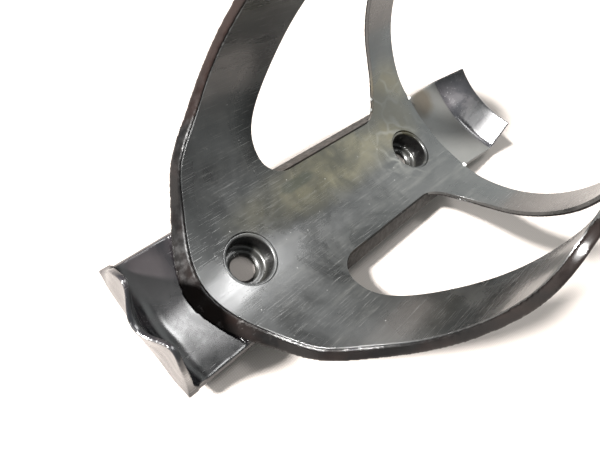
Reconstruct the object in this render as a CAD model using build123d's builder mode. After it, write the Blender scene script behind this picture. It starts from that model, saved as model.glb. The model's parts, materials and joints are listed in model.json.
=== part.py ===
from build123d import *
import os
from math import cos, radians, sin

os.makedirs("parts", exist_ok=True)

# Bicycle water bottle cage: a moulded laminate cage that lies on its back.
#
# The cage is a sandwich. A thin inner skin follows the bottle. An outer shell backs it,
# rolls out into a thick rim along the wide arms, and holds thin foam cores. A backbone
# channel under the spine carries two bolt cups. A shelf at the lower end stops the
# bottle's base, and a catch at the upper end hooks into the bottle's neck groove.
#
# Frame: origin on the frame-tube face, midway between the two bolt holes. +Z points
# from the frame tube to the bottle, +Y runs along the bottle from its base to its neck.
# Edge lines of the skin are given as a place along Y at an angle about the bottle's
# axis, counted from the middle of the spine.

# Driving dimensions, in millimetres and degrees
BORE_R = 36.0            # free bore of the arms; a 73 mm bottle springs them open
SKIN_RISE = 7.5          # spine's bottle face above the frame tube
BOLT_SPACING = 64.0      # standard bottle boss spacing
BOLT_HOLE_R = 3.2        # clearance for a bolt of 5 mm, with room to slide
CUP_DEPTH = 6.0          # from the spine's bottle face to the cup's floor
CUP_R = 5.7
CUP_WALL = 0.9
CUP_ROLL_R = 0.5         # rolled edge at the cup's mouth
CUP_FLOOR_R = 0.8        # round between the cup's wall and floor
CUP_EYE_CHAMFER = 0.7
SKIN_T = 0.9             # inner skin
BACKING_T = 0.7          # outer shell behind the spine and the narrow arms
COLLAR_T = 3.2           # whole thickness at the thickest part of the collar
CORE_COVER_T = 0.8       # outer shell behind a foam core

# Backbone channel: outer corners across the cage
BACKBONE_EDGE_ANGLE = 21.9
BACKBONE_SHOULDER = (16.0, 6.6)
BACKBONE_LAND_HALF_W = 7.0
BACKBONE_LOW_Y = -41.0
BACKBONE_HIGH_Y = 42.0
CHANNEL_WALL = 1.4

# Lower and upper edge lines of the skin, from the middle of the spine to an arm's tip
EDGE_ANGLES = (0, 10, 20, 31, 42, 54, 66, 78, 90, 102, 114, 123, 130)
LOWER_EDGE = (-44.8, -43.8, -41.5, -38.7, -35.9, -30.2, -25.7, -21.9, -18.8, -17.0, -14.8, -8.5, 1.0)
UPPER_EDGE = (44.8, 44.6, 43.8, 42.3, 41.2, 39.8, 38.4, 37.1, 35.9, 34.6, 32.2, 27.5, 19.0)
TIP_CORNER_R = 7.0

# Rim rolled out along the lower edge, and the upper limit of the thick collar
RIM_LAND = 0.4           # flat top of the rim beside the skin's edge
RIM_FLARE = (4.2, 3.7, 3.1, 2.1, 1.7, 1.6, 0.9, 0.5, 0.5, 0.5, 0.5, 0.5, 0.5)
COLLAR_THICK = (3.2, 3.2, 3.2, 3.1, 2.9, 2.8, 2.7, 2.6, 2.5, 2.4, 2.2, 2.1, 2.1)
COLLAR_LIMIT = (-20.0, -18.0, -14.0, -11.0, -8.0, -3.0, 3.0, 8.0, 11.0, 13.0, 14.0, 14.0, 14.0)
WRAP_END_ANGLE = 127.0   # where the rim stops wrapping the skin's edge
PAST_EDGE_Y = -70.0
FADE = 2.5               # run of the collar's back slope for each mm of its height

# Window between the two arms of one side
WINDOW_ANGLES = (21.2, 32, 44, 56, 68, 80, 96, 112)
WINDOW_LOWER = (-16.4, -16.6, -15.7, -11.1, -6.0, -1.8, 2.6, 4.8)
WINDOW_UPPER = (26.0, 28.9, 30.1, 29.0, 27.5, 25.8, 24.9, 24.3)
WINDOW_CORNER_R = 7.5

# Foam core of a wide arm, kept clear of the arm's bonded edges
CORE_ANGLES = (30, 42, 54, 66, 78, 90)
CORE_LOWER = (-35.0, -32.0, -26.4, -21.9, -18.2, -15.2)
CORE_UPPER = (-20.5, -19.2, -15.0, -10.2, -5.8, -2.4)
CORE_THICK = (3.1, 2.9, 2.8, 2.7, 2.6, 2.5)
CORE_CORNER_R = 2.5

# Shelf at the lower end. Stations run from its middle to its edge.
SHELF_HALF_W = 15.8
SHELF_X = (0.0, 3.5, 7.0, 9.5, 12.0, 15.8)
SHELF_LIP_Y = (-64.1, -63.0, -61.6, -61.7, -61.2, -59.6)
SHELF_ROOT_Y = -41.0
SHELF_BEND_Y = -60.2
SHELF_ROOT_Z = 4.7       # top of the shelf under the collar, before the collar trims it
SHELF_FLOOR_Z = 3.9      # top of the shelf beside its lip
SHELF_SAG = 1.6          # rise of the shelf's edges above its middle
SHELF_T = 1.7
SHELF_PAD = (29.0, 3.0, 6.0)   # glue pad that fills the gap between shelf and collar
SHELF_BEVEL_W = 0.9            # turned-down side edges of the shelf
SHELF_BEVEL_DROP = 1.5
SHELF_BEVEL_END_Y = -57.5
LIP_BASE_T = 1.7
LIP_TOP_T = 1.0
LIP_BEND_R = 4.5         # inside round from the shelf's floor up to its lip
LIP_HEEL_R = 2.2         # outside round under it
LIP_LOFT_Z = 28.0
LIP_OUTLINE = (
    (0.0, 23.4), (3.5, 24.4), (6.8, 25.8), (9.5, 23.8), (12.0, 17.3), (14.0, 10.0), (16.2, 5.6))

# Catch at the upper end: points along Y and away from the bottle's axis
CATCH_ANGLE = 21.4
CATCH_T = 1.5
CATCH_PATH = ((39.5, 37.6), (46.0, 37.8), (67.2, 41.3), (72.6, 33.4))
CATCH_BEND_R = 2.0
CATCH_CORNER_R = 1.5

AXIS_Z = SKIN_RISE + BORE_R
SKIN_BACK_R = BORE_R + SKIN_T
BACKING_R = SKIN_BACK_R + BACKING_T
COLLAR_R = BORE_R + COLLAR_T
CUP_FLOOR_Z = SKIN_RISE - CUP_DEPTH
CUP_OUTER_R = CUP_R + CUP_WALL
CUP_PLACES = ((0, -BOLT_SPACING / 2, 0), (0, BOLT_SPACING / 2, 0))
MARGIN = 4.0             # how far a cutter runs past the wall that it cuts
HALF_LENGTH = 90.0       # reach of a tool that has to pass right through along Y
FAR_R = 100.0            # beyond the whole cage
SAME_LEVEL = 0.01        # two heights this close are one face
SQUARE_ON = 0.9          # an edge leaning on Y by more than this runs along the cage


def both_sides(values, sign=1):
    """One side's values, mirrored about the middle of the spine."""
    return tuple(sign * value for value in values[:0:-1]) + tuple(values)


def radial_plane(angle):
    """Plane through the bottle's axis: local x runs along Y, local y away from the axis."""
    turn = radians(angle)
    return Plane(origin=(0, 0, AXIS_Z), x_dir=(0, 1, 0), z_dir=(-cos(turn), 0, -sin(turn)))


def band(angles, lower, upper, flare=None):
    """Slab about the bottle's axis between two edge lines, thicker than any wall.

    Its edges are radial, except that with flare the lower edge runs from the rim's land
    at the bore out to the flare at the collar's back.
    """
    inner_r = BORE_R - MARGIN
    outer_r = COLLAR_R + MARGIN
    with BuildPart() as slab:
        for index, angle in enumerate(angles):
            land = RIM_LAND if flare else 0.0
            slope = (flare[index] - land) / COLLAR_T if flare else 0.0
            start = lower[index] - land
            with BuildSketch(radial_plane(angle)):
                Polygon(
                    (start + slope * MARGIN, inner_r), (upper[index], inner_r),
                    (upper[index], outer_r), (start - slope * (COLLAR_T + MARGIN), outer_r),
                    align=None)
        loft()
    return slab.part


def layer(angles, lower, upper, thick, fade=0.0):
    """Solid layer from inside the bore out to a back that changes thickness with angle.

    With fade the back slopes down to the skin's back at the layer's upper edge.
    """
    inner_r = BORE_R - MARGIN
    with BuildPart() as slab:
        for index, angle in enumerate(angles):
            run = fade * (thick[index] - SKIN_T)
            with BuildSketch(radial_plane(angle)):
                Polygon(
                    (lower[index], inner_r), (upper[index], inner_r), (upper[index], SKIN_BACK_R),
                    (upper[index] - run, BORE_R + thick[index]), (lower[index], BORE_R + thick[index]),
                    align=None)
        loft()
    return slab.part


def rounded_band(angles, lower, upper, corner_r, flare=None):
    """Band whose radial corner edges are rounded."""
    with BuildPart() as slab:
        add(band(angles, lower, upper, flare))
        ends = slab.faces().filter_by(GeomType.PLANE)
        corners = [edge for face in ends for edge in face.edges() if abs(edge.tangent_at(0.5).Y) < SQUARE_ON]
        fillet(corners, corner_r)
    return slab.part


def wall(inner_r, outer_r):
    """Full round wall about the bottle's axis."""
    with BuildPart() as tube:
        with BuildSketch(Plane.XZ):
            with Locations((0, AXIS_Z)):
                Circle(outer_r)
                if inner_r:
                    Circle(inner_r, mode=Mode.SUBTRACT)
        extrude(amount=HALF_LENGTH, both=True)
    return tube.part


def channel(inset, low_y, high_y):
    """Solid prism of the backbone's cross-section, moved inwards by inset."""
    turn = radians(BACKBONE_EDGE_ANGLE)
    edge = (BORE_R * sin(turn), AXIS_Z - BORE_R * cos(turn))
    with BuildPart() as prism:
        with BuildSketch(Plane.XZ.offset(-high_y)):
            with BuildLine():
                Polyline(
                    edge, BACKBONE_SHOULDER, (BACKBONE_LAND_HALF_W, 0),
                    (-BACKBONE_LAND_HALF_W, 0), (-BACKBONE_SHOULDER[0], BACKBONE_SHOULDER[1]),
                    (-edge[0], edge[1]), close=True)
            make_face()
            if inset:
                offset(amount=-inset, kind=Kind.INTERSECTION)
        extrude(amount=high_y - low_y)
    return prism.part


outline = rounded_band(
    both_sides(EDGE_ANGLES, -1), both_sides(LOWER_EDGE), both_sides(UPPER_EDGE), TIP_CORNER_R)
rim_outline = rounded_band(
    both_sides(EDGE_ANGLES, -1), both_sides(LOWER_EDGE), both_sides(UPPER_EDGE), TIP_CORNER_R,
    both_sides(RIM_FLARE))
collar_layer = layer(
    both_sides(EDGE_ANGLES, -1), [PAST_EDGE_Y] * (2 * len(EDGE_ANGLES) - 1),
    both_sides(COLLAR_LIMIT), both_sides(COLLAR_THICK), FADE)
rim_zone = band(
    both_sides(EDGE_ANGLES, -1), [PAST_EDGE_Y] * (2 * len(EDGE_ANGLES) - 1),
    both_sides([y + MARGIN for y in LOWER_EDGE]))
window_right = rounded_band(WINDOW_ANGLES, WINDOW_LOWER, WINDOW_UPPER, WINDOW_CORNER_R)
windows = [window_right, window_right.mirror(Plane.YZ)]

# Foam cores of the wide arms
with BuildPart() as arm_core_right:
    add(rounded_band(CORE_ANGLES, CORE_LOWER, CORE_UPPER, CORE_CORNER_R))
    add(layer(
        CORE_ANGLES, [PAST_EDGE_Y] * len(CORE_ANGLES), [-PAST_EDGE_Y] * len(CORE_ANGLES),
        [thick - CORE_COVER_T for thick in CORE_THICK]), mode=Mode.INTERSECT)
    add(wall(0, SKIN_BACK_R), mode=Mode.SUBTRACT)

with BuildPart() as arm_core_left:
    mirror(arm_core_right.part, about=Plane.YZ)


def cup_floor():
    """The face that a bolt's head sits on, in the cup being built."""
    return bolt_cup_lower.faces().filter_by(lambda face: abs(face.center().Z - CUP_FLOOR_Z) < SAME_LEVEL)[0]


# Bolt cups stand on the frame tube and come up through every layer of the spine
with BuildPart() as bolt_cup_lower:
    with Locations((0, -BOLT_SPACING / 2, 0)):
        Cylinder(CUP_OUTER_R, SKIN_RISE, align=(Align.CENTER, Align.CENTER, Align.MIN))
    with Locations((0, -BOLT_SPACING / 2, CUP_FLOOR_Z)):
        Cylinder(CUP_R, CUP_DEPTH, align=(Align.CENTER, Align.CENTER, Align.MIN), mode=Mode.SUBTRACT)
    with Locations((0, -BOLT_SPACING / 2, SKIN_RISE)):
        Hole(BOLT_HOLE_R)
    mouth = bolt_cup_lower.faces().sort_by(Axis.Z)[-1].inner_wires()[0]
    fillet(mouth.edges(), CUP_ROLL_R)
    chamfer(cup_floor().inner_wires()[0].edges(), CUP_EYE_CHAMFER)
    fillet(cup_floor().outer_wire().edges(), CUP_FLOOR_R)

with BuildPart() as bolt_cup_upper:
    mirror(bolt_cup_lower.part, about=Plane.XZ)

# Inner skin against the bottle
with BuildPart() as inner_skin:
    add(outline)
    add(wall(BORE_R, SKIN_BACK_R), mode=Mode.INTERSECT)
    add(windows, mode=Mode.SUBTRACT)
    with Locations(*CUP_PLACES):
        Cylinder(CUP_OUTER_R, 2 * HALF_LENGTH, mode=Mode.SUBTRACT)

# Outer shell: backing, thick collar, and the rim rolled round the skin's lower edge
with BuildPart() as collar:
    add(collar_layer)
    add(wall(0, SKIN_BACK_R), mode=Mode.SUBTRACT)

with BuildPart() as wrap:
    add(rim_outline)
    add(wall(BORE_R, SKIN_BACK_R), mode=Mode.INTERSECT)
    add(rim_zone, mode=Mode.INTERSECT)
    add(outline, mode=Mode.SUBTRACT)
    with BuildSketch(Plane.XZ):
        reach = (FAR_R * sin(radians(WRAP_END_ANGLE)), AXIS_Z - FAR_R * cos(radians(WRAP_END_ANGLE)))
        Polygon((0, AXIS_Z), reach, (-reach[0], reach[1]), align=None)
    extrude(amount=HALF_LENGTH, both=True, mode=Mode.SUBTRACT)

with BuildPart() as outer_shell:
    add(wall(SKIN_BACK_R, BACKING_R))
    add(collar.part)
    add(rim_outline, mode=Mode.INTERSECT)
    add(wrap.part)
    add(windows, mode=Mode.SUBTRACT)
    add([arm_core_left.part, arm_core_right.part], mode=Mode.SUBTRACT)
    with Locations(*CUP_PLACES):
        Cylinder(CUP_OUTER_R, 2 * HALF_LENGTH, mode=Mode.SUBTRACT)

# Catch at the upper end
with BuildPart() as top_catch:
    with BuildSketch(radial_plane(CATCH_ANGLE)):
        with BuildLine():
            FilletPolyline(*CATCH_PATH, radius=CATCH_BEND_R)
            offset(amount=CATCH_T, side=Side.LEFT)
        make_face()
    revolve(axis=Axis((0, 0, AXIS_Z), (0, 1, 0)), revolution_arc=2 * CATCH_ANGLE)

with BuildPart() as shelf_pad:
    with Locations((0, SHELF_ROOT_Y, SHELF_FLOOR_Z)):
        Box(*SHELF_PAD, align=(Align.CENTER, Align.MAX, Align.MIN))
    add(wall(0, COLLAR_R), mode=Mode.SUBTRACT)

with BuildPart() as shelf_bevel:
    past_edge_drop = SHELF_BEVEL_DROP * (1 + MARGIN / SHELF_BEVEL_W)
    for y, z in ((SHELF_ROOT_Y + MARGIN, SHELF_ROOT_Z), (SHELF_BEVEL_END_Y, SHELF_FLOOR_Z)):
        with BuildSketch(Plane.XZ.offset(-y)):
            with Locations((SHELF_HALF_W, z + SHELF_SAG)):
                Polygon(
                    (-SHELF_BEVEL_W, 0), (MARGIN, -past_edge_drop),
                    (MARGIN, SHELF_BEVEL_DROP), (-SHELF_BEVEL_W, SHELF_BEVEL_DROP), align=None)
    loft()

# Shelf at the lower end, lofted from its left edge to its right edge
stations = zip(both_sides(SHELF_X, -1), both_sides(SHELF_LIP_Y))
with BuildPart() as bottom_shelf:
    for x, lip_y in stations:
        rise = SHELF_SAG * (x / SHELF_HALF_W) ** 2
        lean = (lip_y - SHELF_BEND_Y) / (LIP_OUTLINE[0][1] - SHELF_FLOOR_Z)
        top_y = SHELF_BEND_Y + lean * (LIP_LOFT_Z - SHELF_FLOOR_Z)
        with BuildSketch(Plane.YZ.offset(x)):
            heel = Vector(SHELF_BEND_Y, SHELF_FLOOR_Z + rise - SHELF_T)
            crook = Vector(SHELF_BEND_Y + LIP_BASE_T, SHELF_FLOOR_Z + rise)
            Polygon(
                (SHELF_ROOT_Y, SHELF_ROOT_Z + rise), crook, (top_y + LIP_TOP_T, LIP_LOFT_Z),
                (top_y, LIP_LOFT_Z), heel, (SHELF_ROOT_Y, SHELF_ROOT_Z + rise - SHELF_T), align=None)
            fillet(vertices().sort_by_distance(crook)[0], LIP_BEND_R)
            fillet(vertices().sort_by_distance(heel)[0], LIP_HEEL_R)
    loft()
    lip_edge = [(-x, z) for x, z in LIP_OUTLINE[:0:-1]] + list(LIP_OUTLINE)
    with BuildSketch(Plane.XZ.offset(-SHELF_BEND_Y - LIP_BASE_T - LIP_BEND_R)):
        with BuildLine():
            crest = Spline(*lip_edge)
            Polyline(crest @ 1, (lip_edge[-1][0], FAR_R), (lip_edge[0][0], FAR_R), crest @ 0)
        make_face()
    extrude(amount=HALF_LENGTH, mode=Mode.SUBTRACT)
    add(shelf_pad.part)
    add(outer_shell.part, mode=Mode.SUBTRACT)
    add(shelf_bevel.part, mode=Mode.SUBTRACT)
    mirror(shelf_bevel.part, about=Plane.YZ, mode=Mode.SUBTRACT)

# Foam filling of the backbone channel
with BuildPart() as spine_core:
    add(channel(CHANNEL_WALL, BACKBONE_LOW_Y + CHANNEL_WALL, CATCH_PATH[0][0]))
    add(wall(0, BACKING_R), mode=Mode.SUBTRACT)
    add([outer_shell.part, top_catch.part], mode=Mode.SUBTRACT)
    with Locations(*CUP_PLACES):
        Cylinder(CUP_OUTER_R, 2 * HALF_LENGTH, mode=Mode.SUBTRACT)

# Backbone channel behind the spine
with BuildPart() as backbone:
    add(channel(0, BACKBONE_LOW_Y, BACKBONE_HIGH_Y))
    add(wall(0, BORE_R), mode=Mode.SUBTRACT)
    add([inner_skin.part, outer_shell.part, top_catch.part, spine_core.part], mode=Mode.SUBTRACT)
    with Locations(*CUP_PLACES):
        Cylinder(CUP_OUTER_R, 2 * HALF_LENGTH, mode=Mode.SUBTRACT)

inner_skin.part.label = "inner_skin"
outer_shell.part.label = "outer_shell"
arm_core_left.part.label = "arm_core_left"
arm_core_right.part.label = "arm_core_right"
backbone.part.label = "backbone"
spine_core.part.label = "spine_core"
bottom_shelf.part.label = "bottom_shelf"
top_catch.part.label = "top_catch"
bolt_cup_lower.part.label = "bolt_cup_lower"
bolt_cup_upper.part.label = "bolt_cup_upper"

export_step(inner_skin.part, "parts/inner_skin.step")
export_step(outer_shell.part, "parts/outer_shell.step")
export_step(arm_core_left.part, "parts/arm_core_left.step")
export_step(arm_core_right.part, "parts/arm_core_right.step")
export_step(backbone.part, "parts/backbone.step")
export_step(spine_core.part, "parts/spine_core.step")
export_step(bottom_shelf.part, "parts/bottom_shelf.step")
export_step(top_catch.part, "parts/top_catch.step")
export_step(bolt_cup_lower.part, "parts/bolt_cup_lower.step")
export_step(bolt_cup_upper.part, "parts/bolt_cup_upper.step")
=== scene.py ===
import json
import math

import bmesh
import bpy
from mathutils import Matrix, Vector, noise
from mathutils.bvhtree import BVHTree


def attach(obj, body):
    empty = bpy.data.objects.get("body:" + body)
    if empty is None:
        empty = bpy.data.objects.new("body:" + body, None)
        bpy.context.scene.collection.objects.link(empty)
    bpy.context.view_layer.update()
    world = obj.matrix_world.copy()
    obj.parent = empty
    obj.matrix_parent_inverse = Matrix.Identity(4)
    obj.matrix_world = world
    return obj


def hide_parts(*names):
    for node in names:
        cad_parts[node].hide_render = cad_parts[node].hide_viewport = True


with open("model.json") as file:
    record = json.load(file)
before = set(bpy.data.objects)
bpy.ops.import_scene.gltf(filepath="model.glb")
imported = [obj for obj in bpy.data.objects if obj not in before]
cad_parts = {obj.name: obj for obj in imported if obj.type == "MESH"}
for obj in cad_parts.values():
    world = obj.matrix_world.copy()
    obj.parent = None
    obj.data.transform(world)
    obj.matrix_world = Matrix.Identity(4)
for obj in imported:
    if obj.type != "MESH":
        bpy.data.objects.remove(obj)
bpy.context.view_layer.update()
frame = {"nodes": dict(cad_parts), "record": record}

scene = bpy.context.scene
nodes = frame["nodes"]
mounts = {mount["name"]: mount for mount in frame["record"]["mounts"]}
MM = 0.001

# Places, in millimetres
CUP_Y = mounts["frame_bolts"]["dims"]["spacing_y_mm"] / 2   # bolt cups, either side of the middle
CUP_MOUTH_R = 7.4        # edge of the smooth patch round a cup's mouth
CUP_MOUTH_BLEND = 1.0
HOLLOW_TOP_Z = 7.3       # painted shade on a cup's walls starts below this height
HOLLOW_FULL_Z = 6.6      # and the painted shade is full below this one
CUP_FLOOR_TOP_Z = 3.0    # its floor's own colour comes in between these
CUP_FLOOR_FULL_Z = 1.8
COLLAR_START_Y = -14.0   # wear of the thick collar grows between these
COLLAR_FULL_Y = -30.0
CATCH_STEP_Y = 66.0      # the catch is matt up to this line and glossy beyond it
CATCH_STEP_BLEND = 0.6
DISH_FLAT = 6.0          # half-width of the gentle bottom of the shelf's dish
DISH_TILT = 0.35         # how much the dish leans along Y
SHELF_DISH = 0.12        # strength of the dish in shading

# Marked places on the surface: centre and radii, in millimetres
SPINE_STAIN = ((-8, 6, 8), (6.5, 27, 8))
ARM_STAIN = ((-13, 34, 10), (12, 9, 10))
ROOT_STAIN = ((-15, 33, 11), (11, 8, 9))
DRIP_PLACE = ((-9.3, -9.0, 8), (1.6, 5.5, 5))
VEIN_PLACE = ((-9, 31, 9), (14, 12, 10))
# Where the rim's painted reddish reflection lies
RED_REFLECTION_PLACE = ((-35, -19, 36), (13, 12, 17))
CHIP_PLACE = ((8, -46, 8), (11, 6, 8))
SHELF_STAIN = ((-10, -53, 6), (6, 6, 5))
CATCH_STAIN = ((-11, 52.5, 6), (5, 7, 7))

# Rounding of edges in shading
EDGE_R = 0.35 * MM
TAB_EDGE_R = 0.45 * MM
RIM_EDGE_R = 0.6 * MM


# ---------------------------------------------------------------- node helpers
class Shader:
    """A material's node tree with short calls for the nodes used here."""

    def __init__(self, name):
        self.mat = bpy.data.materials.new(name)
        self.mat.use_nodes = True
        self.tree = self.mat.node_tree
        self.bsdf = self.tree.nodes["Principled BSDF"]
        coord = self.tree.nodes.new("ShaderNodeTexCoord")
        self.pos = coord.outputs["Object"]

    def node(self, kind, inputs=None, **props):
        """New node with its settings, and its inputs as values or links."""
        made = self.tree.nodes.new(kind)
        for key, value in props.items():
            setattr(made, key, value)
        for key, value in (inputs or {}).items():
            self.put(made.inputs[key], value)
        return made

    def put(self, socket, value):
        if isinstance(value, bpy.types.NodeSocket):
            self.tree.links.new(value, socket)
        elif hasattr(value, "__len__") and len(value) == 3 and socket.type == "RGBA":
            socket.default_value = (*value, 1)
        else:
            socket.default_value = value

    def set(self, key, value):
        self.put(self.bsdf.inputs[key], value)

    def math(self, op, a, b=0.0, c=0.0):
        made = self.node("ShaderNodeMath", {0: a, 1: b, 2: c}, operation=op)
        return made.outputs[0]

    def vector(self, op, *values, output="Vector"):
        """Result of one vector operation."""
        made = self.node("ShaderNodeVectorMath", dict(enumerate(values)), operation=op)
        return made.outputs[output]

    def both(self, a, b):
        """a times b."""
        return self.math("MULTIPLY", a, b)

    def scaled(self, scale, turn):
        """The object's own position, turned and stretched."""
        made = self.node("ShaderNodeMapping", {"Vector": self.pos})
        made.inputs["Scale"].default_value = scale
        made.inputs["Rotation"].default_value = turn
        return made.outputs[0]

    def noise(self, scale, detail=3.0, rough=0.5, vector=None, distort=0.0):
        made = self.node("ShaderNodeTexNoise", {
            "Vector": vector or self.pos, "Scale": scale, "Detail": detail,
            "Roughness": rough, "Distortion": distort})
        return made.outputs["Fac"]

    def cells(self, scale, feature="DISTANCE_TO_EDGE", vector=None):
        """Distance inside a pattern of cells, from their edges unless feature says otherwise."""
        inputs = {"Vector": vector or self.pos, "Scale": scale}
        made = self.node("ShaderNodeTexVoronoi", inputs, feature=feature)
        return made.outputs["Distance"]

    def ramp(self, value, low, high, to_low=0.0, to_high=1.0):
        """Smooth step from to_low, where value is low, to to_high, where it is high."""
        made = self.node("ShaderNodeMapRange", {
            "Value": value, "From Min": low, "From Max": high, "To Min": to_low, "To Max": to_high})
        made.interpolation_type = "SMOOTHSTEP"
        return made.outputs[0]

    def mix(self, fac, a, b):
        """Colour a where fac is 0, colour b where it is 1."""
        made = self.node("ShaderNodeMix", data_type="RGBA")
        self.put(made.inputs[0], fac)
        self.put(made.inputs[6], a)
        self.put(made.inputs[7], b)
        return made.outputs[2]

    def axis(self, index):
        """One coordinate of the object's own position, in metres."""
        made = self.node("ShaderNodeSeparateXYZ", {0: self.pos})
        return made.outputs[index]

    def blob(self, place, fuzz, wobble=120.0):
        """1 inside a noisy-edged ellipsoid, 0 outside; place is its centre and radii."""
        centre, radii = place
        middle = [c * MM for c in centre]
        per_radius = [1 / (r * MM) for r in radii]
        away = self.vector("SUBTRACT", self.pos, middle)
        reach = self.vector("LENGTH", self.vector("MULTIPLY", away, per_radius), output="Value")
        rough = self.math("MULTIPLY_ADD", self.noise(wobble), 0.9, -0.45)
        return self.ramp(self.math("ADD", reach, rough), 1 + fuzz, 1 - fuzz)

    def bump(self, layers, bevel=EDGE_R):
        """Stacks (height, strength, distance) layers on a softly rounded edge normal."""
        normal = None
        if bevel is not None:
            normal = self.node("ShaderNodeBevel", {"Radius": bevel}, samples=4).outputs[0]
        for height, strength, distance in layers:
            made = self.node("ShaderNodeBump", {"Height": height, "Strength": strength, "Distance": distance})
            if normal is not None:
                self.put(made.inputs["Normal"], normal)
            normal = made.outputs[0]
        self.set("Normal", normal)


# ---------------------------------------------------------------- colours, linear light
LAMINATE_DARK = (0.0022, 0.0023, 0.0023)
LAMINATE_LIGHT = (0.0085, 0.0087, 0.0085)
LAMINATE_PATCH = (0.014, 0.014, 0.0132)
LAMINATE_HAZE = (0.021, 0.021, 0.0195)
COLLAR_WEAR = (0.0215, 0.0222, 0.0226)
OLIVE_DARK = (0.012, 0.0110, 0.0055)
OLIVE_LIGHT = (0.046, 0.0415, 0.0240)
OLIVE_ROOT = (0.040, 0.033, 0.014)
DRIP = (0.006, 0.007, 0.003)
VEIN = (0.085, 0.085, 0.076)
SCRATCH = (0.090, 0.090, 0.086)
RUBBED = (0.08, 0.08, 0.076)
DUST = (0.3, 0.3, 0.29)
RIM_DARK = (0.002, 0.0018, 0.0018)
RIM_LIGHT = (0.006, 0.004, 0.0035)
# Painted reflection on the rim of one arm
RIM_RED_REFLECTION = (0.014, 0.007, 0.0055)
RIM_CHIP = (0.070, 0.064, 0.062)
FLANK_DARK = (0.0015, 0.0014, 0.0012)
FLANK_LIGHT = (0.005, 0.0036, 0.0026)
FLANK_GRAIN = (0.024, 0.019, 0.014)
SHELF_DARK = (0.005, 0.005, 0.006)
SHELF_LIGHT = (0.015, 0.012, 0.0135)
SHELF_STAIN_COLOUR = (0.012, 0.009, 0.010)
CATCH_DARK = (0.012, 0.012, 0.014)
CATCH_LIGHT = (0.024, 0.022, 0.024)
CATCH_STAIN_COLOUR = (0.020, 0.012, 0.003)
TAB_SCRATCH = (0.3, 0.3, 0.3)
TAB_MATT = (0.072, 0.072, 0.066)
# Painted shade: the near-black of the bolt cups' walls
CUP_WALL_SHADE = (0.0006, 0.0006, 0.0006)
CUP_FLOOR = (0.010, 0.010, 0.009)
RESIN_CLEAR = (0.55, 0.55, 0.53)
RESIN_MILKY = (0.80, 0.80, 0.78)
FOAM_PORE = (0.55, 0.48, 0.36)
FOAM_SKIN = (0.72, 0.66, 0.54)
CLOTH_DARK = (0.262, 0.238, 0.222)
CLOTH_LIGHT = (0.305, 0.280, 0.262)
CLOTH_SOFT = (0.285, 0.260, 0.243)
SKY = (0.95, 1.0, 0.985, 1)
SUNLIGHT = (1.0, 0.985, 0.965)


# ---------------------------------------------------------------- materials
def scratches(sh, turn, across, along, low, high):
    """Thin straight marks: noise squeezed across one direction of the surface."""
    lines = sh.noise(1.0, 2.0, 0.6, sh.scaled((across, along, across), (0, 0, turn)))
    gate = sh.noise(90.0, 2.0, 0.5, sh.scaled((1, 1, 1), (0.3, 0.2, turn * 3 + 0.7)))
    return sh.both(sh.ramp(lines, low, high), sh.ramp(gate, 0.42, 0.6))


def cup_gap(sh):
    """0 at the mouths of the bolt cups, 1 away from them."""
    along = sh.math("SUBTRACT", sh.math("ABSOLUTE", sh.axis(1)), CUP_Y * MM)
    across = sh.math("ABSOLUTE", sh.axis(0))
    reach = sh.math("SQRT", sh.math("ADD", sh.both(along, along), sh.math("POWER", across, 2.0)))
    return sh.ramp(reach, CUP_MOUTH_R * MM, (CUP_MOUTH_R + CUP_MOUTH_BLEND) * MM)


# Scratch families: turn about +Z in radians, fineness across and along the marks
FIRST_SCRATCH_TURN = 0.06
SCRATCH_SETS = ((-0.5, 5000.0, 120.0), (0.45, 5600.0, 130.0), (0.17, 7000.0, 70.0), (1.1, 5600.0, 150.0))


def dark_laminate(sh, cloud, patch):
    """Near-black resin, cloudy, hazy along the spine and worn on the thick collar."""
    colour = sh.mix(sh.ramp(cloud, 0.36, 0.62), LAMINATE_DARK, LAMINATE_LIGHT)
    colour = sh.mix(sh.ramp(patch, 0.50, 0.72, 0.0, 0.6), colour, LAMINATE_PATCH)
    haze = sh.noise(1.0, 4.0, 0.65, sh.scaled((420, 45, 420), (0, 0, 0.12)))
    hazy = sh.both(sh.ramp(haze, 0.48, 0.70), sh.ramp(cloud, 0.42, 0.60, 0.1, 0.8))
    colour = sh.mix(hazy, colour, LAMINATE_HAZE)
    collar = sh.ramp(sh.axis(1), COLLAR_START_Y * MM, COLLAR_FULL_Y * MM)
    worn = sh.both(collar, sh.ramp(patch, 0.30, 0.62, 0.35, 1.0))
    return sh.mix(sh.both(worn, 0.7), colour, COLLAR_WEAR)


def stained(sh, colour, cloud, patch):
    """Olive resin stains left of the spine's middle, with one dark drip."""
    spine_zone = sh.blob(SPINE_STAIN, 0.6, 70.0)
    arm_zone = sh.blob(ARM_STAIN, 0.4)
    olive = sh.mix(sh.ramp(patch, 0.3, 0.7), OLIVE_DARK, OLIVE_LIGHT)
    colour = sh.mix(sh.both(sh.math("MAXIMUM", spine_zone, arm_zone), 0.85), colour, olive)
    root_zone = sh.blob(ROOT_STAIN, 0.5)
    colour = sh.mix(sh.both(root_zone, sh.ramp(cloud, 0.35, 0.6, 0.25, 0.85)), colour, OLIVE_ROOT)
    drip = sh.blob(DRIP_PLACE, 0.3, 200.0)
    return sh.mix(sh.both(drip, 0.8), colour, DRIP)


def veined(sh, colour, cloud):
    """Pale resin lines round the upper bolt cup and the left narrow arm's root."""
    swirl = sh.node("ShaderNodeTexNoise", {"Vector": sh.pos, "Scale": 60.0, "Detail": 2.0})
    bent = sh.vector("MULTIPLY_ADD", swirl.outputs["Color"], (0.03, 0.03, 0.03), sh.pos)
    veins = sh.ramp(sh.cells(105.0, vector=bent), 0.10, 0.0)
    zone = sh.blob(VEIN_PLACE, 0.5)
    return sh.mix(sh.both(sh.both(veins, zone), sh.ramp(cloud, 0.40, 0.62, 0.0, 0.6)), colour, VEIN)


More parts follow.
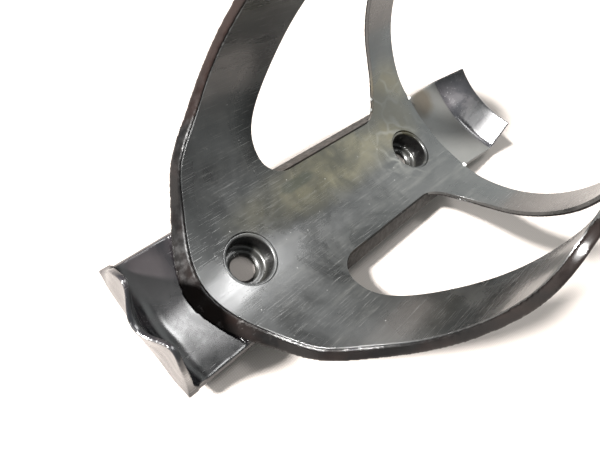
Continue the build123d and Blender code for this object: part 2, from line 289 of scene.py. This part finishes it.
def skin_coat(sh):
    """Colour, gloss and marks of the laminate's bottle face; returns its bump layers."""
    cloud = sh.noise(42.0, 5.0, 0.62, distort=0.8)
    patch = sh.noise(95.0, 3.0, 0.6, distort=0.4)
    fine = sh.noise(420.0, 3.0, 0.6)
    colour = dark_laminate(sh, cloud, patch)
    colour = stained(sh, colour, cloud, patch)
    colour = veined(sh, colour, cloud)
    marks = scratches(sh, FIRST_SCRATCH_TURN, 4200.0, 80.0, 0.66, 0.74)
    for turn, across, along in SCRATCH_SETS:
        marks = sh.math("MAXIMUM", marks, scratches(sh, turn, across, along, 0.63, 0.73))
    lines = sh.noise(1.0, 3.0, 0.7, sh.scaled((5200.0, 110.0, 5200.0), (0, 0, 0.1)))
    rubbed = sh.both(sh.ramp(lines, 0.52, 0.72), sh.ramp(patch, 0.35, 0.6))
    colour = sh.mix(sh.both(marks, 0.34), colour, SCRATCH)
    colour = sh.mix(sh.both(rubbed, 0.06), colour, RUBBED)
    dust = sh.ramp(sh.cells(300.0, "F1"), 0.06, 0.02)
    sh.set("Base Color", sh.mix(sh.both(dust, 0.35), colour, DUST))
    rough = sh.math("ADD", sh.ramp(cloud, 0.35, 0.68, 0.20, 0.42), sh.both(rubbed, 0.08))
    sh.set("Roughness", sh.math("ADD", rough, sh.both(marks, 0.15)))
    sh.set("Specular IOR Level", 0.6)
    sh.set("Coat Weight", 0.4)
    sh.set("Coat Roughness", 0.13)
    wave = sh.noise(75.0, 3.0, 0.55)
    return [(wave, 0.28, 0.0006), (fine, 0.10, 0.00008), (rubbed, 0.06, -0.00002), (marks, 0.30, -0.00005)]


def skin_material():
    """The bottle face's coat, with its rounded shading kept off the cups' mouths."""
    sh = Shader("skin")
    layers = skin_coat(sh)
    sh.bump(layers, sh.both(cup_gap(sh), EDGE_R))
    return sh.mat


def rim_material():
    """Glossy black of the outer shell, with a painted reddish-brown reflection on one arm, and chipped at the
    base.
    """
    sh = Shader("rim")
    cloud = sh.noise(70.0, 4.0, 0.6, distort=0.5)
    grain = sh.noise(1.0, 3.0, 0.6, sh.scaled((500, 160, 500), (0, 0, 0.2)))
    colour = sh.mix(sh.ramp(cloud, 0.4, 0.68), RIM_DARK, RIM_LIGHT)
    # Painted reflection: a soft reddish-brown streak along the left arm's rim
    red_reflection_zone = sh.blob(RED_REFLECTION_PLACE, 0.5)
    colour = sh.mix(sh.both(red_reflection_zone, sh.ramp(cloud, 0.3, 0.7, 0.35, 0.9)), colour, RIM_RED_REFLECTION)
    chips = sh.ramp(sh.noise(230.0, 4.0, 0.65), 0.54, 0.68)
    chip_zone = sh.blob(CHIP_PLACE, 0.5)
    worn = sh.both(chips, sh.math("MULTIPLY_ADD", chip_zone, 0.50, 0.01))
    sh.set("Base Color", sh.mix(worn, colour, RIM_CHIP))
    sh.set("Roughness", sh.math("ADD", sh.ramp(grain, 0.3, 0.7, 0.14, 0.26), sh.both(worn, 0.25)))
    sh.set("Specular IOR Level", 0.27)
    wave = sh.noise(90.0, 3.0, 0.55)
    sh.bump([(wave, 0.08, 0.0005), (grain, 0.12, 0.0001), (worn, 0.3, -0.00015)], RIM_EDGE_R)
    return sh.mat


def flank_material():
    """Dull near-black flanks of the backbone."""
    sh = Shader("flank")
    cloud = sh.noise(120.0, 5.0, 0.65)
    fine = sh.noise(700.0, 4.0, 0.7)
    colour = sh.mix(sh.ramp(cloud, 0.35, 0.65), FLANK_DARK, FLANK_LIGHT)
    sh.set("Base Color", sh.mix(sh.ramp(fine, 0.60, 0.75, 0.0, 0.6), colour, FLANK_GRAIN))
    sh.set("Roughness", sh.ramp(fine, 0.3, 0.7, 0.30, 0.5))
    sh.set("Specular IOR Level", 0.13)
    sh.bump([(cloud, 0.6, 0.0004), (fine, 0.5, 0.00012)])
    return sh.mat


def tab_material(name, dark, light, stain, stain_place, matt_below=None, dish=0.0):
    """Gloss of the shelf or the catch; part of it can be matt, and its face can dish."""
    sh = Shader(name)
    cloud = sh.noise(80.0, 4.0, 0.6, distort=0.8)
    fine = sh.noise(420.0, 3.0, 0.6)
    colour = sh.mix(sh.ramp(cloud, 0.38, 0.66), dark, light)
    stain_zone = sh.blob(stain_place, 0.4)
    colour = sh.mix(sh.both(stain_zone, 0.85), colour, stain)
    marks = scratches(sh, 0.9, 2200.0, 90.0, 0.66, 0.74)
    colour = sh.mix(sh.both(marks, 0.25), colour, TAB_SCRATCH)
    gloss = sh.math("ADD", sh.ramp(cloud, 0.3, 0.7, 0.16, 0.30), sh.both(marks, 0.2))
    if matt_below is not None:
        matt_from = (matt_below + CATCH_STEP_BLEND) * MM
        matt_to = (matt_below - CATCH_STEP_BLEND) * MM
        matt = sh.ramp(sh.axis(1), matt_from, matt_to)
        gloss = sh.math("MULTIPLY_ADD", matt, 0.30, gloss)
        colour = sh.mix(sh.both(matt, 0.6), colour, TAB_MATT)
        colour = sh.mix(sh.both(stain_zone, 0.8), colour, stain)
    sh.set("Base Color", colour)
    sh.set("Roughness", sh.math("MULTIPLY_ADD", stain_zone, 0.22, gloss))
    sh.set("Specular IOR Level", 0.6)
    wave = sh.noise(110.0, 3.0, 0.5)
    layers = [(wave, 0.10, 0.0005), (fine, 0.06, 0.00006)]
    if dish:
        across = sh.math("SQRT", sh.math("ADD", sh.math("POWER", sh.axis(0), 2.0), (DISH_FLAT * MM) ** 2))
        layers.append((sh.math("SUBTRACT", across, sh.both(sh.axis(1), DISH_TILT)), 1.0, dish))
    sh.bump(layers, TAB_EDGE_R)
    return sh.mat


def shelf_material():
    """The bottom shelf: black, with a dished look that bends the lamp's reflection."""
    return tab_material("shelf", SHELF_DARK, SHELF_LIGHT, SHELF_STAIN_COLOUR, SHELF_STAIN, dish=SHELF_DISH)


def catch_material():
    """The top catch: matt next to the skin, glossy over its lip, with a brown stain."""
    return tab_material("catch", CATCH_DARK, CATCH_LIGHT, CATCH_STAIN_COLOUR, CATCH_STAIN, CATCH_STEP_Y)


def cup_material():
    """The skin's coat round the mouth; deeper down, painted shade makes the walls near-black, and the gloss
    is smoother.
    """
    sh = Shader("cup")
    layers = skin_coat(sh)
    face = sh.bsdf.inputs["Base Color"].links[0].from_socket
    gloss = sh.bsdf.inputs["Roughness"].links[0].from_socket
    mottle = sh.noise(500.0, 4.0, 0.65)
    # Painted shade: below the mouth the walls go near-black with depth, down to the floor's own colour
    inside = sh.ramp(sh.axis(2), HOLLOW_TOP_Z * MM, HOLLOW_FULL_Z * MM)
    floor_zone = sh.ramp(sh.axis(2), CUP_FLOOR_TOP_Z * MM, CUP_FLOOR_FULL_Z * MM)
    sh.set("Base Color", sh.mix(inside, face, sh.mix(floor_zone, CUP_WALL_SHADE, CUP_FLOOR)))
    inner_gloss = sh.ramp(mottle, 0.3, 0.7, 0.24, 0.40)
    sh.set("Roughness", sh.math("MULTIPLY_ADD", inside, sh.math("SUBTRACT", inner_gloss, gloss), gloss))
    sh.set("Specular IOR Level", 0.42)
    sh.set("Coat Weight", 0.2)
    sh.bump([*layers, (sh.both(mottle, floor_zone), 0.2, 0.0003)], None)
    return sh.mat


def resin_material():
    """Clear to milky set glue."""
    sh = Shader("resin")
    milk = sh.noise(900.0, 3.0, 0.6)
    sh.set("Base Color", sh.mix(sh.ramp(milk, 0.35, 0.65), RESIN_CLEAR, RESIN_MILKY))
    sh.set("Roughness", sh.ramp(milk, 0.3, 0.7, 0.05, 0.18))
    sh.bump([(milk, 0.3, 0.0001)], None)
    return sh.mat


def foam_material():
    """Foam of the hidden cores."""
    sh = Shader("foam")
    pores = sh.cells(1400.0, "F1")
    sh.set("Base Color", sh.mix(sh.ramp(pores, 0.1, 0.6), FOAM_PORE, FOAM_SKIN))
    sh.set("Roughness", sh.ramp(pores, 0.0, 0.7, 0.95, 0.75))
    sh.bump([(pores, 0.6, 0.0002)], None)
    return sh.mat


def cloth_material():
    """Fine woven cloth under the cage."""
    sh = Shader("cloth")
    threads = {"Vector": sh.pos, "Scale": 620.0, "Distortion": 1.5, "Detail": 1.0}
    warp = sh.node("ShaderNodeTexWave", threads, bands_direction="X")
    weft = sh.node("ShaderNodeTexWave", threads, bands_direction="Y")
    weave = sh.both(warp.outputs["Fac"], weft.outputs["Fac"])
    soft = sh.noise(30.0, 3.0, 0.5)
    colour = sh.mix(weave, CLOTH_DARK, CLOTH_LIGHT)
    sh.set("Base Color", sh.mix(sh.ramp(soft, 0.3, 0.7, 0.0, 0.25), colour, CLOTH_SOFT))
    sh.set("Roughness", sh.ramp(weave, 0, 1, 0.95, 0.8))
    sh.set("Specular IOR Level", 0.2)
    sh.bump([(weave, 0.2, 0.0002), (soft, 0.3, 0.001)], None)
    return sh.mat


skin_mat = skin_material()
rim_mat = rim_material()
cup_mat = cup_material()
foam_mat = foam_material()
resin_mat = resin_material()
looks = {
    "inner_skin": skin_mat,
    "outer_shell": rim_mat,
    "backbone": flank_material(),
    "bottom_shelf": shelf_material(),
    "top_catch": catch_material(),
    "bolt_cup_lower": cup_mat,
    "bolt_cup_upper": cup_mat,
    "arm_core_left": foam_mat,
    "arm_core_right": foam_mat,
    "spine_core": foam_mat,
}
for name, mat in looks.items():
    nodes[name].data.materials.clear()
    nodes[name].data.materials.append(mat)


# ---------------------------------------------------------------- rounded copies of the moulded parts
WELD = 0.002 * MM
RELAX = 0.5


def remelt(piece, voxel, rounds):
    """Gives a piece an even skin of small faces, then relaxes it."""
    remesh = piece.modifiers.new("remesh", "REMESH")
    remesh.mode = "VOXEL"
    remesh.voxel_size = voxel
    remesh.use_smooth_shade = True
    relax = piece.modifiers.new("relax", "SMOOTH")
    relax.factor = RELAX
    relax.iterations = rounds


def merged_mesh(name):
    """The CAD node's mesh as one welded surface."""
    bm = bmesh.new()
    bm.from_mesh(nodes[name].data)
    bmesh.ops.remove_doubles(bm, verts=bm.verts, dist=WELD)
    mesh = bpy.data.meshes.new(name + "_welded")
    bm.to_mesh(mesh)
    bm.free()
    return mesh


def moulded(name, mat, voxel, rounds, dent, dent_scale):
    """A copy of a CAD node with rolled edges and a slightly uneven moulded surface."""
    base = bpy.data.objects.new(name + "_base", merged_mesh(name))
    scene.collection.objects.link(base)
    remelt(base, voxel, rounds)
    graph = bpy.context.evaluated_depsgraph_get()
    mesh = bpy.data.meshes.new_from_object(base.evaluated_get(graph))
    bpy.data.objects.remove(base)
    mesh.name = name + "_moulded"
    # Every new place is worked out first, since moving a vertex turns its neighbours' normals
    inward = [v.co - v.normal * dent * (0.5 + 0.5 * noise.noise(v.co * dent_scale)) for v in mesh.vertices]
    for vertex, place in zip(mesh.vertices, inward):
        vertex.co = place
    mesh.materials.clear()
    mesh.materials.append(mat)
    piece = bpy.data.objects.new(name + "_moulded", mesh)
    scene.collection.objects.link(piece)
    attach(piece, "root")
    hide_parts(name)


# CAD node, slot, voxel size, rounds of relaxing, depth and fineness of the unevenness
MOULDED = (
    ("outer_shell", "shell", 0.26 * MM, 12, 0.10 * MM, 110.0),
    ("bottom_shelf", "tabs", 0.24 * MM, 6, 0.05 * MM, 120.0),
    ("top_catch", "tabs", 0.26 * MM, 6, 0.04 * MM, 120.0),
    ("bolt_cup_lower", "cups", 0.17 * MM, 6, 0.03 * MM, 500.0),
    ("bolt_cup_upper", "cups", 0.17 * MM, 6, 0.03 * MM, 500.0),
)
for name, slot, voxel, rounds, dent, dent_scale in MOULDED:
    moulded(name, looks[name], voxel, rounds, dent, dent_scale)


# ---------------------------------------------------------------- glue beads
BEAD_DROPS = 4
BEAD_TURN = 2.4       # radians from one drop of a bead to the next
BEAD_ROUNDS = 6
# As shares of a bead's radius
BEAD_LIFT = 0.3       # its centre off the skin
BEAD_SPREAD = 0.55    # its drops off its centre
BEAD_VOXEL = 0.14
skin_mesh = nodes["inner_skin"].data
skin_points = [v.co for v in skin_mesh.vertices]
skin_faces = [p.vertices[:] for p in skin_mesh.polygons]
skin_surface = BVHTree.FromPolygons(skin_points, skin_faces)


def bead(name, near, radius):
    """Small set drop of glue on the skin: a few overlapping drops merged and relaxed."""
    near = Vector(near) * MM
    spot = skin_surface.find_nearest(near)[0]
    centre = spot + (near - spot).normalized() * radius * BEAD_LIFT
    bm = bmesh.new()
    for index in range(BEAD_DROPS):
        turn = BEAD_TURN * index
        away = Vector((math.sin(turn), math.cos(turn), 0.3 * (index - 1.5))) * radius * BEAD_SPREAD
        drop = bmesh.ops.create_icosphere(bm, subdivisions=3, radius=radius * (0.8 - 0.1 * index))
        bmesh.ops.translate(bm, vec=centre + away, verts=drop["verts"])
    mesh = bpy.data.meshes.new(name)
    bm.to_mesh(mesh)
    bm.free()
    piece = bpy.data.objects.new(name, mesh)
    scene.collection.objects.link(piece)
    remelt(piece, radius * BEAD_VOXEL, BEAD_ROUNDS)
    mesh.materials.append(resin_mat)
    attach(piece, "root")


# Name, a place beside the skin in millimetres, radius
BEADS = (
    ("glue_bead_left", (-13.3, 43.7, 10.1), 0.55 * MM),
    ("glue_bead_right", (13.9, 44.2, 10.2), 0.6 * MM),
    ("glue_bead_corner_a", (-16.2, 26.3, 10.4), 0.5 * MM),
    ("glue_bead_corner_b", (-18.4, 28.0, 11.6), 0.5 * MM),
)
for name, near, radius in BEADS:
    bead(name, near, radius)

# ---------------------------------------------------------------- camera
SENSOR_MM = 36.0
LENS_MM = 28.02
NEAREST_SEEN = 0.005
CAMERA_PLACE = (0.01039, -0.0779, 0.10482)
CAMERA_TURN = Matrix((
    (0.61070867, -0.78674506, 0.08981719),
    (0.6954714, 0.47867798, -0.53589824),
    (0.37862178, 0.38974299, 0.83949148)))
cam_data = bpy.data.cameras.new("camera")
cam = bpy.data.objects.new("camera", cam_data)
scene.collection.objects.link(cam)
cam_data.sensor_width = SENSOR_MM
cam_data.lens = LENS_MM
cam_data.clip_start = NEAREST_SEEN
cam.matrix_world = Matrix.Translation(CAMERA_PLACE) @ CAMERA_TURN.to_4x4()
scene.camera = cam

# ---------------------------------------------------------------- floor and light
FLOOR_HALF = 1.5
floor_mesh = bpy.data.meshes.new("floor")
corners = [(FLOOR_HALF * x, FLOOR_HALF * y, 0) for x, y in ((-1, -1), (1, -1), (1, 1), (-1, 1))]
floor_mesh.from_pydata(corners, [], [(0, 1, 2, 3)])
floor = bpy.data.objects.new("floor", floor_mesh)
scene.collection.objects.link(floor)
floor_mesh.materials.append(cloth_material())

# A dim sky that is brighter low down beyond the cage's neck end, like a pale wall there
BACK_WALL = Vector((0.0, 0.995, 0.1)).normalized()
GLOW = {"From Min": 0.56, "From Max": 0.85, "To Min": 0.60, "To Max": 1.9}
world = bpy.data.worlds.new("world")
scene.world = world
world.use_nodes = True
sky = world.node_tree
background = sky.nodes["Background"]
coord = sky.nodes.new("ShaderNodeTexCoord")
facing = sky.nodes.new("ShaderNodeVectorMath")
facing.operation = "DOT_PRODUCT"
facing.inputs[1].default_value = BACK_WALL
glow = sky.nodes.new("ShaderNodeMapRange")
glow.interpolation_type = "SMOOTHSTEP"
for key, value in GLOW.items():
    glow.inputs[key].default_value = value
sky.links.new(coord.outputs["Generated"], facing.inputs[0])
sky.links.new(facing.outputs["Value"], glow.inputs["Value"])
sky.links.new(glow.outputs[0], background.inputs["Strength"])
background.inputs["Color"].default_value = SKY

LAMP_DISTANCE = 1.2


def lamp(name, direction, size, radiance):
    """Soft oval lamp that looks at the cage from a direction, with a chosen brightness."""
    data = bpy.data.lights.new(name, "AREA")
    data.shape = "ELLIPSE"
    data.size, data.size_y = size
    data.energy = radiance * math.pi * math.pi / 4 * size[0] * size[1]
    lit = bpy.data.objects.new(name, data)
    towards = Vector(direction).normalized()
    lit.location = towards * LAMP_DISTANCE
    lit.rotation_euler = towards.to_track_quat("Z", "Y").to_euler()
    scene.collection.objects.link(lit)


lamp("key", (-0.240, 0.290, 0.925), (0.42, 0.36), 23.0)
lamp("window", (-0.32, -0.80, 0.52), (0.50, 0.32), 20.0)

SUN_DIRECTION = Vector((-0.394, -0.682, 0.616))
sun_data = bpy.data.lights.new("sun", "SUN")
sun_data.energy = 26.0
sun_data.angle = math.radians(6.0)
sun_data.color = SUNLIGHT
sun = bpy.data.objects.new("sun", sun_data)
sun.rotation_euler = SUN_DIRECTION.to_track_quat("Z", "Y").to_euler()
scene.collection.objects.link(sun)

scene.view_settings.view_transform = "Standard"
scene.view_settings.look = "None"
